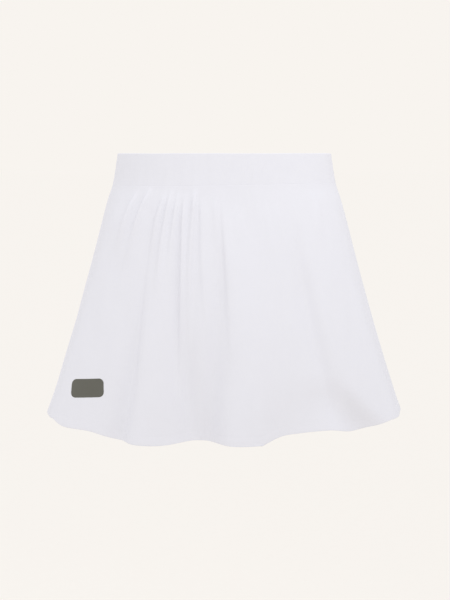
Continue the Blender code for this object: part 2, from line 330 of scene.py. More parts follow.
@dataclass(frozen=True)
class ClothForm:
    """The filled-out shape that every piece of cloth lies on.

    Its points come from the same sections, hem and folds as the solids. It adds the cloth's finer relief.
    """

    band_height: float = 0.039
    seam_tilt: float = 0.002  # the band's seam lies lower at the -X side and higher at the +X side
    seam_gap: float = 0.0003
    fold_bottom: float = 0.340
    fold_top_width: float = 0.45
    fold_growth: float = 1.4
    relief_rise: float = 0.006  # how far under the seam the finer relief takes to reach its height
    crease_rise: float = 0.025  # the least drop that a crease takes to reach its height
    crease_top_width: float = 0.7  # a crease's width where it begins, beside the flanks in its row
    crease_spread: float = 0.9  # how much wider it is where it ends
    crease_tail: float = 1.2  # how far its middle goes on leaning, as a part of its length
    crease_end: float = 1.001  # just past 1, so that a crease may keep its height all the way
    fine_gathers: int = 96  # small puckers round the whole seam, between the creases
    fine_spacing: float = 0.4  # how unevenly they are spaced, as a part of the space between them
    fine_lean: float = 1.5  # degrees that they may lean to either side
    fine_start: tuple[float, float] = (0.003, 0.008)  # how far under the seam they begin
    fine_height: tuple[float, float] = (0.0002, 0.0007)
    fine_length: tuple[float, float] = (0.012, 0.055)
    fine_width: tuple[float, float] = (0.0014, 0.0030)
    waves: int = 16  # long soft waves that keep the cloth from looking drawn with a ruler
    wave_height: float = 0.00006
    wave_length: tuple[float, float] = (0.022, 0.080)  # round the body
    wave_drop: tuple[float, float] = (0.12, 0.40)  # down the cloth
    wave_rise: float = 0.04  # how far under the seam they take to reach their height
    dip_depth: float = 0.0006  # the side seams' groove
    dip_width: float = 0.0018
    pucker_height: float = 0.00025  # the cloth drawn up along the side seams' stitches
    pucker_length: float = 0.0105
    pucker_reach: float = 0.008
    pucker_beats: tuple[Beat, ...] = (Beat(2 * math.pi), Beat(5.3, phase=1.0, share=0.6))
    slope_step: float = 0.0004  # how far off the points lie that give the surface's slope
    slope_radius: float = 0.15  # about how far from the middle they are
    column_samples: int = 721  # points that measure the way round one half
    column_drop: float = 0.2  # the drop at which it is measured
    column_spare: float = 0.4  # the least space beside the seam columns, as a part of a column's width
    # The extra columns close to each side seam, by their distance from it.
    seam_columns: tuple[float, ...] = (0.0005, 0.0011, 0.0018, 0.0028, 0.0042)
    seed: int = 20

    def section_value(self, column: str, drop: Array) -> Array:
        """One column of the table of sections, read at any drop."""
        return smooth([row.drop for row in SECTIONS], [getattr(row, column) for row in SECTIONS], drop)

    def seam_drop(self, angle: Array) -> Array:
        """The drop of the seam between the waistband and the skirt."""
        return self.band_height - self.seam_tilt * np.sin(np.radians(angle))

    def hem_drop(self, angle: Array) -> Array:
        """The drop of the skirt's edge."""
        return smooth([row.angle for row in HEM], [row.drop for row in HEM], (angle + 90) % 360 - 90)

    def off_seam(self, side: Side) -> float:
        """How far along Y a half stands off the middle of its side seams."""
        return self.seam_gap / 2 * side.forwards

    def plain_radius(self, angle: Array, drop: Array) -> Array:
        """From the middle out to the skirt's outline at one height, before any fold.

        Args:
            angle: round the body, in degrees.
            drop: below the top edge, in metres.

        Returns:
            The distance, in metres.
        """
        sideways, forwards = np.sin(np.radians(angle)), np.cos(np.radians(angle))
        width = self.section_value("half_width", drop)
        front, back = self.section_value("front_depth", drop), self.section_value("back_depth", drop)
        depth = np.where(forwards > 0, front, back)
        power = self.section_value("squareness", drop)
        return (np.abs(sideways / width) ** power + np.abs(forwards / depth) ** power) ** (-1 / power)

    def fold_relief(self, angle: Array, drop: Array, radius: Array) -> Array:
        """How far the long folds push the cloth out, or in where it is less than nothing.

        Args:
            angle: round the body, in degrees.
            drop: below the top edge, in metres.
            radius: from the middle out to the skirt's outline, in metres.

        Returns:
            The push, in metres.
        """
        relief = np.zeros_like(radius)
        down = (drop - self.band_height) / (self.fold_bottom - self.band_height)
        for fold in FOLDS:
            grown = np.clip((drop - fold.start) / (self.fold_bottom - fold.start), 0.0, 1.0)
            bow = fold.middle_angle - (fold.top_angle + fold.hem_angle) / 2
            centre = fold.top_angle + (fold.hem_angle - fold.top_angle) * down + 4 * bow * down * (1 - down)
            width = fold.half_width * (self.fold_top_width + (1 - self.fold_top_width) * grown)
            across = np.radians(turned(angle - centre)) * radius / width
            relief += fold.height * grown**self.fold_growth * np.exp(-(across**2))
        return relief

    def crease_relief(self, angle: Array, drop: Array, radius: Array) -> Array:
        """The gathers and small folds, each with its own length and flanks.

        Args:
            angle: round the body, in degrees.
            drop: below the top edge, in metres.
            radius: from the middle out to the skirt's outline, in metres.

        Returns:
            How far they push the cloth out, in metres.
        """
        relief = np.zeros_like(radius)
        for crease in (*CREASES, *self.seeded_gathers()):
            length = crease.end - crease.start
            down = (drop - crease.start) / length
            inside = np.clip(down, 0, 1)
            rise = ease((drop - crease.start) / max(self.crease_rise, crease.rise * length))
            fall = 1 - ease((down - crease.fade) / (self.crease_end - crease.fade))
            lean = (crease.end_angle - crease.top_angle) * np.clip(down, 0, self.crease_tail)
            centre = crease.top_angle + lean + 4 * crease.bow * inside * (1 - inside)
            away = np.radians(turned(angle - centre)) * radius
            spread = self.crease_top_width + self.crease_spread * inside
            mean, skew = (crease.left + crease.right) / 2, (crease.right - crease.left) / 2
            width = (mean + skew * np.tanh(2 * away / mean)) * spread
            relief += crease.height * rise * fall * np.exp(-((away / width) ** 2))
        return relief

    def seeded_gathers(self) -> list[Crease]:
        """Small puckers all round the seam, in a fixed random order.

        Returns:
            The puckers, each written as a crease.
        """
        draw = np.random.default_rng(self.seed)
        puckers = []
        for i in range(self.fine_gathers):
            angle = 360 * (i + draw.uniform(-self.fine_spacing, self.fine_spacing)) / self.fine_gathers
            lean = draw.uniform(-self.fine_lean, self.fine_lean)
            start = self.band_height + draw.uniform(*self.fine_start)
            left, right = draw.uniform(*self.fine_width, 2)
            length, height = draw.uniform(*self.fine_length), draw.uniform(*self.fine_height)
            height *= float(np.interp((angle + 90) % 360 - 90, *zip(*GATHERING)))
            puckers.append(Crease(angle, angle + lean, start, start + length, left, right, height))
        return puckers

    def wave_relief(self, angle: Array, drop: Array, radius: Array) -> Array:
        """Long soft waves with no order, which start below the seam.

        Args:
            angle: round the body, in degrees.
            drop: below the top edge, in metres.
            radius: from the middle out to the skirt's outline, in metres.

        Returns:
            How far they push the cloth out, in metres.
        """
        draw = np.random.default_rng(self.seed + 1)
        relief = np.zeros_like(radius)
        around = np.radians(angle) * radius
        for _ in range(self.waves):
            length, fall = draw.uniform(*self.wave_length), draw.uniform(*self.wave_drop)
            phase, lean = draw.uniform(0, 2 * math.pi), draw.choice((-1, 1))
            relief += np.sin(2 * math.pi * (around / length + lean * drop / fall) + phase)
        return self.wave_height * relief * ease((drop - self.band_height) / self.wave_rise)

    def side_relief(self, angle: Array, drop: Array, radius: Array) -> Array:
        """The groove of the side seams, and the cloth drawn up along their stitches.

        Args:
            angle: round the body, in degrees.
            drop: below the top edge, in metres.
            radius: from the middle out to the skirt's outline, in metres.

        Returns:
            How far they push the cloth out, in metres.
        """
        from_seam = np.radians(90 - np.abs(turned(angle))) * radius
        groove = -self.dip_depth * np.exp(-((from_seam / self.dip_width) ** 2))
        puckers = self.pucker_height * ripple(drop / self.pucker_length, self.pucker_beats)
        return groove + puckers * np.exp(-((from_seam / self.pucker_reach) ** 2))

    def point(self, angle: Array, drop: Array) -> Array:
        """The cloth's outer surface.

        Args:
            angle: round the body, in degrees.
            drop: below the top edge, in metres.

        Returns:
            Points, with one more axis than the angles and drops have.
        """
        angle, drop = np.broadcast_arrays(angle, drop)
        plain = self.plain_radius(angle, drop)
        below = ease((drop - self.band_height) / self.relief_rise)
        relief = self.fold_relief(angle, drop, plain) + self.side_relief(angle, drop, plain)
        relief += below * (self.crease_relief(angle, drop, plain) + self.wave_relief(angle, drop, plain))
        across, forwards = np.sin(np.radians(angle)), np.cos(np.radians(angle))
        radius = plain + relief
        return np.stack((radius * across, -radius * forwards, self.band_height / 2 - drop), axis=-1)

    def cloth_point(self, angle: Array, drop: Array, out: Array) -> Array:
        """The cloth's outer surface moved out, square to itself.

        Args:
            angle: round the body, in degrees.
            drop: below the top edge, in metres.
            out: how far it is moved, which is less than nothing inwards.

        Returns:
            Points, with one more axis than the angles and drops have.
        """
        degrees = math.degrees(self.slope_step / self.slope_radius)
        around = self.point(angle + degrees, drop) - self.point(angle - degrees, drop)
        down = self.point(angle, drop + self.slope_step) - self.point(angle, drop - self.slope_step)
        normal = np.cross(down, around)
        normal /= np.linalg.norm(normal, axis=-1, keepdims=True)
        return self.point(angle, drop) + normal * np.asarray(out)[..., None]

    def columns(self, side: Side, count: int) -> Array:
        """Angles from one side seam to the other, closer together where the gathers are tight.

        Args:
            side: the half that they cross.
            count: about how many steps there are, before the extra columns at the side seams.

        Returns:
            The angles in degrees, rising.
        """
        fine = side.angles(90, self.column_samples)
        radius = self.plain_radius(fine, np.full_like(fine, self.column_drop))
        line = np.stack((radius * np.sin(np.radians(fine)), radius * np.cos(np.radians(fine))), axis=-1)
        steps = np.linalg.norm(np.diff(line, axis=0), axis=1)
        length = np.concatenate(([0.0], np.cumsum(steps)))
        density = np.interp((fine[1:] + 90) % 360 - 90, *zip(*COLUMN_DENSITY))
        share = np.concatenate(([0.0], np.cumsum(steps * density)))
        inner = np.interp(np.linspace(0, share[-1], count + 1)[1:-1], share, length)
        near = np.asarray(self.seam_columns)
        spare = near[-1] + self.column_spare * length[-1] / count
        inner = inner[(inner > spare) & (inner < length[-1] - spare)]
        stations = np.concatenate(([0.0], near, inner, length[-1] - near[::-1], length[-1:]))
        return np.interp(stations, length, fine)


def object_from(name: str, mesh: bpy.types.Mesh, *finishes: bpy.types.Material) -> bpy.types.Object:
    """Puts a mesh into the scene as a piece at the origin, with its materials.

    Args:
        name: the piece's name.
        mesh: its mesh.
        *finishes: its materials, where the mesh has none yet.

    Returns:
        The piece.
    """
    for finish in finishes:
        mesh.materials.append(finish)
    piece = bpy.data.objects.new(name, mesh)
    bpy.context.scene.collection.objects.link(piece)
    return piece


def shell_mesh(name: str, grid: Array, thickness: float, flat: Array) -> bpy.types.Mesh:
    """A thin closed shell of cloth round a grid of points.

    Args:
        name: the mesh's name.
        grid: points halfway through the cloth, in rows down and columns round, seen from outside.
        thickness: of the cloth.
        flat: for each point, its place on the flat cut, in metres.

    Returns:
        The mesh, with its flat cut as its UV map.
    """
    rows, columns = grid.shape[:2]
    normal = np.cross(np.gradient(grid, axis=0), np.gradient(grid, axis=1))
    normal /= np.linalg.norm(normal, axis=-1, keepdims=True)
    corners = np.concatenate([(grid + side * thickness / 2 * normal).reshape(-1, 3) for side in (1, -1)])
    index = np.arange(rows * columns).reshape(rows, columns)
    outer = np.stack((index[:-1, :-1], index[1:, :-1], index[1:, 1:], index[:-1, 1:]), axis=-1)
    outer = outer.reshape(-1, 4)
    inner = outer[:, ::-1] + rows * columns
    rim = np.concatenate((index[0, :], index[1:-1, -1], index[-1, ::-1], index[-2:0:-1, 0]))
    after = np.roll(rim, -1)
    edge = np.stack((rim, after, after + rows * columns, rim + rows * columns), axis=-1)
    faces = np.concatenate((outer, inner, edge))
    mesh = bpy.data.meshes.new(name)
    mesh.from_pydata(corners.tolist(), [], faces.tolist())
    layer = mesh.uv_layers.new(name="flat_cut")
    places = np.concatenate((flat.reshape(-1, 2), flat.reshape(-1, 2)))
    layer.data.foreach_set("uv", places[faces.ravel()].astype(np.float32).ravel())
    mesh.shade_smooth()
    mesh.set_sharp_from_angle(angle=math.radians(CRISP_ANGLE))
    mesh.update()
    return mesh


def flat_cut(grid: Array, middle: int) -> Array:
    """How a grid of cloth points lies when the cloth is laid flat, with its grain down the middle.

    Args:
        grid: points in rows down and columns round.
        middle: the column that the grain follows.

    Returns:
        Two numbers for each point: metres round from the middle, and metres up from the first row, which
        are less than nothing.
    """
    across = np.linalg.norm(np.diff(grid, axis=1), axis=-1)
    across = np.concatenate((np.zeros((len(grid), 1)), np.cumsum(across, axis=1)), axis=1)
    down = np.linalg.norm(np.diff(grid, axis=0), axis=-1)
    down = np.concatenate((np.zeros((1, grid.shape[1])), np.cumsum(down, axis=0)))
    return np.stack((across - across[:, middle : middle + 1], -down), axis=-1)


def linear(hexa: str) -> tuple[float, float, float, float]:
    """Turns a colour into the linear numbers that a shader takes, by the curve of the sRGB standard.

    Args:
        hexa: the colour as RRGGBB.

    Returns:
        Red, green, blue and a full alpha.
    """
    parts = [int(hexa[i : i + 2], 16) / 255 for i in (0, 2, 4)]
    red, green, blue = (p / 12.92 if p <= 0.04045 else ((p + 0.055) / 1.055) ** 2.4 for p in parts)
    return (red, green, blue, 1.0)


def add_node(
    tree: bpy.types.NodeTree,
    kind: str,
    inputs: dict[Any, Any] | None = None,
    **settings: Any,
) -> bpy.types.Node:
    """Adds one node, with its settings and links.

    Args:
        tree: the node tree.
        kind: Blender's name for the kind of node.
        inputs: a value, or the socket to link from, for each input, by its name or number.
        **settings: the node's own settings.

    Returns:
        The new node.
    """
    node = tree.nodes.new(kind)
    for name, value in settings.items():
        setattr(node, name, value)
    for name, value in (inputs or {}).items():
        if isinstance(value, bpy.types.NodeSocket):
            tree.links.new(value, node.inputs[name])
        else:
            node.inputs[name].default_value = value
    return node


@dataclass(frozen=True)
class Finish:
    """What every finish has: its colours, its texture and how it takes the light."""

    name: str
    light: str  # the paler of the two close colours that it wanders between
    shade: str
    roughness: float
    sheen: float = 0.0
    sheen_roughness: float = 0.45
    gloss: float = 0.5  # how strong its clear highlight is
    mottle: float = 0.018  # the size of the patches of colour
    mottle_detail: float = 3.0
    mottle_roughness: float = 0.55
    bump: float = 0.00002  # how deep its texture is
    fineness: float = 2.0  # how much smaller detail its texture has

    def height(self, tree: bpy.types.NodeTree) -> bpy.types.NodeSocket:
        """The texture's height, which each kind of finish gives in its own way."""
        raise NotImplementedError

    def material(self) -> bpy.types.Material:
        """Builds the material, with its colour, texture and gloss.

        Returns:
            The material.
        """
        material = bpy.data.materials.new(self.name)
        material.use_nodes = True
        tree = material.node_tree
        shader = tree.nodes["Principled BSDF"]
        place = add_node(tree, "ShaderNodeTexCoord")
        patches = add_node(
            tree,
            "ShaderNodeTexNoise",
            {
                "Vector": place.outputs["Object"],
                "Scale": 1 / self.mottle,
                "Detail": self.mottle_detail,
                "Roughness": self.mottle_roughness,
            },
        )
        colour = add_node(
            tree,
            "ShaderNodeMix",
            {0: patches.outputs[0], 6: linear(self.shade), 7: linear(self.light)},
            data_type="RGBA",
        )
        bump = add_node(
            tree, "ShaderNodeBump", {"Height": self.height(tree), "Strength": 1.0, "Distance": self.bump}
        )
        tree.links.new(colour.outputs[2], shader.inputs["Base Color"])
        tree.links.new(bump.outputs[0], shader.inputs["Normal"])
        shader.inputs["Roughness"].default_value = self.roughness
        shader.inputs["Specular IOR Level"].default_value = self.gloss
        shader.inputs["Sheen Weight"].default_value = self.sheen
        shader.inputs["Sheen Roughness"].default_value = self.sheen_roughness
        return material


def wave(tree: bpy.types.NodeTree, along: bpy.types.NodeSocket, pitch: float) -> bpy.types.NodeSocket:
    """A sine along one coordinate, which repeats at each pitch.

    Args:
        tree: the node tree.
        along: the coordinate.
        pitch: how far apart its crests are, in metres.

    Returns:
        The socket that gives the sine.
    """
    turns = add_node(tree, "ShaderNodeMath", {0: along, 1: 2 * math.pi / pitch}, operation="MULTIPLY")
    return add_node(tree, "ShaderNodeMath", {0: turns.outputs[0]}, operation="SINE").outputs[0]


@dataclass(frozen=True)
class WovenCloth(Finish):
    """Plain-woven cloth: warp and weft pass over and under each other, thread by thread."""

    # Real threads are about 0.25 mm apart, and these are coarser so that they show.
    thread_pitch: float = 0.00055
    crinkle: float = 0.006  # the size of the faint crinkles between the folds
    crinkle_share: float = 1.2  # how deep they are beside the weave

    def height(self, tree: bpy.types.NodeTree) -> bpy.types.NodeSocket:
        """Crossing threads on the flat cut, with faint crinkles.

        Args:
            tree: the material's node tree.

        Returns:
            The socket that gives the cloth's height.
        """
        place = add_node(tree, "ShaderNodeTexCoord")
        cut = add_node(tree, "ShaderNodeSeparateXYZ", {0: place.outputs["UV"]})
        warp = wave(tree, cut.outputs["X"], 2 * self.thread_pitch)
        weft = wave(tree, cut.outputs["Y"], 2 * self.thread_pitch)
        weave = add_node(tree, "ShaderNodeMath", {0: warp, 1: weft}, operation="MULTIPLY")
        crinkles = add_node(
            tree,
            "ShaderNodeTexNoise",
            {"Vector": place.outputs["Object"], "Scale": 1 / self.crinkle, "Detail": self.fineness},
        )
        both = {0: crinkles.outputs[0], 1: self.crinkle_share, 2: weave.outputs[0]}
        return add_node(tree, "ShaderNodeMath", both, operation="MULTIPLY_ADD").outputs[0]


@dataclass(frozen=True)
class KnittedCloth(Finish):
    """Single jersey: columns of small V-shaped loops."""

    # Real loops are about 0.4 mm apart, and these are coarser so that they show.
    wale: float = 0.0007  # from column to column
    course: float = 0.0006  # from row to row
    loop_share: float = 0.6  # how deep the loops are beside the columns

    def height(self, tree: bpy.types.NodeTree) -> bpy.types.NodeSocket:
        """Columns of loops on the flat cut.

        Args:
            tree: the material's node tree.

        Returns:
            The socket that gives the jersey's height.
        """
        place = add_node(tree, "ShaderNodeTexCoord")
        cut = add_node(tree, "ShaderNodeSeparateXYZ", {0: place.outputs["UV"]})
        columns = wave(tree, cut.outputs["X"], self.wale)
        slant = {0: columns, 1: self.course / 4, 2: cut.outputs["Y"]}
        slanted = add_node(tree, "ShaderNodeMath", slant, operation="MULTIPLY_ADD").outputs[0]
        loops = wave(tree, slanted, self.course)
        both = {0: loops, 1: self.loop_share, 2: columns}
        return add_node(tree, "ShaderNodeMath", both, operation="MULTIPLY_ADD").outputs[0]


@dataclass(frozen=True)
class Grained(Finish):
    """Anything with a fine even grain, such as spun thread, film or paper."""

    grain: float = 0.0004  # coarser than real fibres, so that it shows

    def height(self, tree: bpy.types.NodeTree) -> bpy.types.NodeSocket:
        """A fine grain without direction.

        Args:
            tree: the material's node tree.

        Returns:
            The socket that gives the grain's height.
        """
        place = add_node(tree, "ShaderNodeTexCoord")
        inputs = {"Vector": place.outputs["Object"], "Scale": 1 / self.grain, "Detail": self.fineness}
        return add_node(tree, "ShaderNodeTexNoise", inputs).outputs[0]


# Light plain-woven polyester with optical brightener: a cool white that stays matt from every side.
SKIRT_CLOTH = WovenCloth(
    name="plain_woven_polyester", light="E6E6ED", shade="E4E4EB", roughness=0.72, gloss=0.1
)
# Polyester jersey over elastic: denser than the skirt's cloth, of the same white, and even more matt.
BAND_JERSEY = KnittedCloth(
    name="polyester_jersey", light="E7E7EE", shade="E5E5EC", roughness=0.78, gloss=0.1
)
# Spun polyester sewing thread: white, with a soft sheen that sets it off from the cloth.
SEWING_THREAD = Grained(
    name="spun_polyester_thread", light="F0EFF3", shade="E9E8EC", roughness=0.6, sheen=0.2
)
# Heat-transfer film of polyurethane: dark grey and satin, with a faint grain from the cloth under it.
TRANSFER_FILM = Grained(
    name="polyurethane_transfer_film", light="5F5E56", shade="59584F", roughness=0.42
)
# Matt paper of a studio floor: pale cream, with no highlight at all.
STUDIO_PAPER = Grained(
    name="matt_studio_paper", light="F8F4EF", shade="F6F2ED", roughness=1.0, gloss=0.0, grain=0.002
)


@dataclass
class SewingThread:
    """Lays sewing thread along paths with Geometry Nodes: a row of stitches, or an overlocked edge."""

    finish: bpy.types.Material
    stitch_pitch: float = 0.0026
    stitch_length: float = 0.0021
    stitch_thickness: float = 0.00026
    stitch_height: float = 0.00014
    # The least and the most that a stitch's length, thickness and height are, beside the usual ones.
    least_stitch: tuple[float, float, float] = (0.92, 0.90, 0.85)
    most_stitch: tuple[float, float, float] = (1.04, 1.10, 1.15)
    stitch_seed: int = 7
    stitch_segments: int = 8  # round a stitch, whose shape is a ball that is drawn out
    stitch_rings: int = 5
    overlock_pitch: float = 0.0024
    overlock_reach: float = 0.0045
    overlock_thickness: float = 0.0003
    overlock_sides: int = 6  # round its thread

    def __post_init__(self) -> None:
        """Builds both trees, which all the seams share."""
        self.row_tree = self.stitch_row_tree()
        self.edge_tree = self.overlock_tree()

    @staticmethod
    def new_tree(name: str, sizes: dict[str, float]) -> tuple[bpy.types.NodeTree, bpy.types.Node]:
        """A tree with the path, its sizes and a material as inputs.

        Args:
            name: the tree's name.
            sizes: the named sizes, with their usual values.

        Returns:
            The tree and its input node.
        """
        tree = bpy.data.node_groups.new(name, "GeometryNodeTree")
        tree.interface.new_socket("Path", in_out="INPUT", socket_type="NodeSocketGeometry")
        for size, value in sizes.items():
            socket = tree.interface.new_socket(size, in_out="INPUT", socket_type="NodeSocketFloat")
            socket.default_value = value
        tree.interface.new_socket("Material", in_out="INPUT", socket_type="NodeSocketMaterial")
        tree.interface.new_socket("Thread", in_out="OUTPUT", socket_type="NodeSocketGeometry")
        return tree, tree.nodes.new("NodeGroupInput")

    @staticmethod
    def end_tree(tree: bpy.types.NodeTree, start: bpy.types.Node, shape: bpy.types.NodeSocket) -> None:
        """Realizes the shape, smooths it and gives it its material.

        Args:
            tree: the tree to end.
            start: its input node.
            shape: the socket that gives the shape.
        """
        real = add_node(tree, "GeometryNodeRealizeInstances", {0: shape})
        soft = add_node(tree, "GeometryNodeSetShadeSmooth", {"Geometry": real.outputs[0]})
        done = {"Geometry": soft.outputs[0], "Material": start.outputs["Material"]}
        dressed = add_node(tree, "GeometryNodeSetMaterial", done)
        add_node(tree, "NodeGroupOutput", {0: dressed.outputs[0]})

    def stitch_row_tree(self) -> bpy.types.NodeTree:
        """A row of lockstitches: a small rounded stitch at each pitch, lying along the path.

        Returns:
            The tree.
        """
        sizes = {
            "Pitch": self.stitch_pitch,
            "Stitch Length": self.stitch_length,
            "Thickness": self.stitch_thickness,
            "Height": self.stitch_height,
        }
        tree, start = self.new_tree("stitch_row", sizes)
        line = add_node(tree, "GeometryNodeMeshToCurve", {0: start.outputs["Path"]})
        even = {"Curve": line.outputs[0], "Length": start.outputs["Pitch"]}
        stations = add_node(tree, "GeometryNodeResampleCurve", even, mode="LENGTH")
        placed = {"Curve": stations.outputs[0]}
        points = add_node(tree, "GeometryNodeCurveToPoints", placed, mode="EVALUATED")
        named = {"Name": "outward"}
        outward = add_node(tree, "GeometryNodeInputNamedAttribute", named, data_type="FLOAT_VECTOR")
        along = add_node(
            tree, "FunctionNodeAlignRotationToVector", {"Vector": points.outputs["Tangent"]}, axis="X"
        )
        lying = add_node(
            tree,
            "FunctionNodeAlignRotationToVector",
            {"Rotation": along.outputs[0], "Vector": outward.outputs[0]},
            axis="Z",
            pivot_axis="X",
        )
        size = add_node(
            tree,
            "ShaderNodeCombineXYZ",
            {0: start.outputs["Stitch Length"], 1: start.outputs["Thickness"], 2: start.outputs["Height"]},
        )
        uneven = add_node(
            tree,
            "FunctionNodeRandomValue",
            {0: self.least_stitch, 1: self.most_stitch, "Seed": self.stitch_seed},
            data_type="FLOAT_VECTOR",
        )
        scale = add_node(
            tree, "ShaderNodeVectorMath", {0: size.outputs[0], 1: uneven.outputs[0]}, operation="MULTIPLY"
        )
        ball = {"Segments": self.stitch_segments, "Rings": self.stitch_rings, "Radius": 0.5}
        stitch = add_node(tree, "GeometryNodeMeshUVSphere", ball)
        row = add_node(
            tree,
            "GeometryNodeInstanceOnPoints",
            {
                "Points": points.outputs["Points"],
                "Instance": stitch.outputs[0],
                "Rotation": lying.outputs[0],
                "Scale": scale.outputs[0],
            },
        )
        self.end_tree(tree, start, row.outputs[0])
        return tree

    def overlock_tree(self) -> bpy.types.NodeTree:
        """An overlocked edge: a thread that runs to and fro between two straight threads.

        Returns:
            The tree.
        """
        sizes = {
            "Pitch": self.overlock_pitch,
            "Reach": self.overlock_reach,
            "Thickness": self.overlock_thickness,
        }
        tree, start = self.new_tree("overlocked_edge", sizes)
        line = add_node(tree, "GeometryNodeMeshToCurve", {0: start.outputs["Path"]})
        half = add_node(tree, "ShaderNodeMath", {0: start.outputs["Pitch"], 1: 0.5}, operation="MULTIPLY")
        even = {"Curve": line.outputs[0], "Length": half.outputs[0]}
        stations = add_node(tree, "GeometryNodeResampleCurve", even, mode="LENGTH")
        named = {"Name": "across"}
        across = add_node(tree, "GeometryNodeInputNamedAttribute", named, data_type="FLOAT_VECTOR")
        reach = add_node(
            tree,
            "ShaderNodeVectorMath",
            {0: across.outputs[0], "Scale": start.outputs["Reach"]},
            operation="SCALE",
        )
        index = add_node(tree, "GeometryNodeInputIndex")
        odd = add_node(tree, "ShaderNodeMath", {0: index.outputs[0], 1: 2.0}, operation="MODULO")
        swing = add_node(
            tree, "ShaderNodeVectorMath", {0: reach.outputs[0], "Scale": odd.outputs[0]}, operation="SCALE"
        )
        thread = {"Resolution": self.overlock_sides, "Radius": start.outputs["Thickness"]}
        profile = add_node(tree, "GeometryNodeCurvePrimitiveCircle", thread)
        # The circle takes the thickness as its radius, so it is drawn at half that size.
        halved = {"Geometry": profile.outputs[0], "Scale": (0.5, 0.5, 0.5)}
        slim = add_node(tree, "GeometryNodeTransform", halved)
        joined = add_node(tree, "GeometryNodeJoinGeometry")
        for offset in (swing.outputs[0], reach.outputs[0], None):
            moved = {"Geometry": stations.outputs[0]}
            if offset is not None:
                moved["Offset"] = offset
            route = add_node(tree, "GeometryNodeSetPosition", moved)
            swept = {"Curve": route.outputs[0], "Profile Curve": slim.outputs[0], "Fill Caps": True}
            tube = add_node(tree, "GeometryNodeCurveToMesh", swept)
            tree.links.new(tube.outputs[0], joined.inputs[0])
        self.end_tree(tree, start, joined.outputs[0])
        return tree

    def sew(self, name: str, tree: bpy.types.NodeTree, lines: list[dict[str, Array]]) -> bpy.types.Object:
        """Runs a tree along some lines and keeps the result as a plain mesh.

        Args:
            name: the new piece's name.
            tree: one of the two trees.
            lines: for each line its points, and the directions that the tree reads, as arrays of vectors.

        Returns:
            The piece, at the origin.
        """
        path = bpy.data.meshes.new(name)
        points = np.concatenate([line["points"] for line in lines])
        ends = np.cumsum([len(line["points"]) for line in lines])
        edges = [(i, i + 1) for i in range(len(points) - 1) if i + 1 not in ends]
        path.from_pydata(points.tolist(), edges, [])
        for direction in sorted(set(lines[0]) - {"points"}):
            layer = path.attributes.new(direction, "FLOAT_VECTOR", "POINT")
            vectors = np.concatenate([line[direction] for line in lines])
            layer.data.foreach_set("vector", vectors.astype(np.float32).ravel())
        holder = object_from(name + "_path", path)
        modifier = holder.modifiers.new(tree.name, "NODES")
        modifier.node_group = tree
        modifier[tree.interface.items_tree["Material"].identifier] = self.finish
        drawn = holder.evaluated_get(bpy.context.evaluated_depsgraph_get())
        mesh = bpy.data.meshes.new_from_object(drawn)
        mesh.name = name
        holder.modifiers.clear()
        bpy.data.objects.remove(holder)
        bpy.data.meshes.remove(path)
        return object_from(name, mesh)


@dataclass
class Half:
    """What the pieces of one half of the skirt's ring share."""

    side: Side
    form: ClothForm

    @property
    def name(self) -> str:
        """front or back."""
        return self.side.word


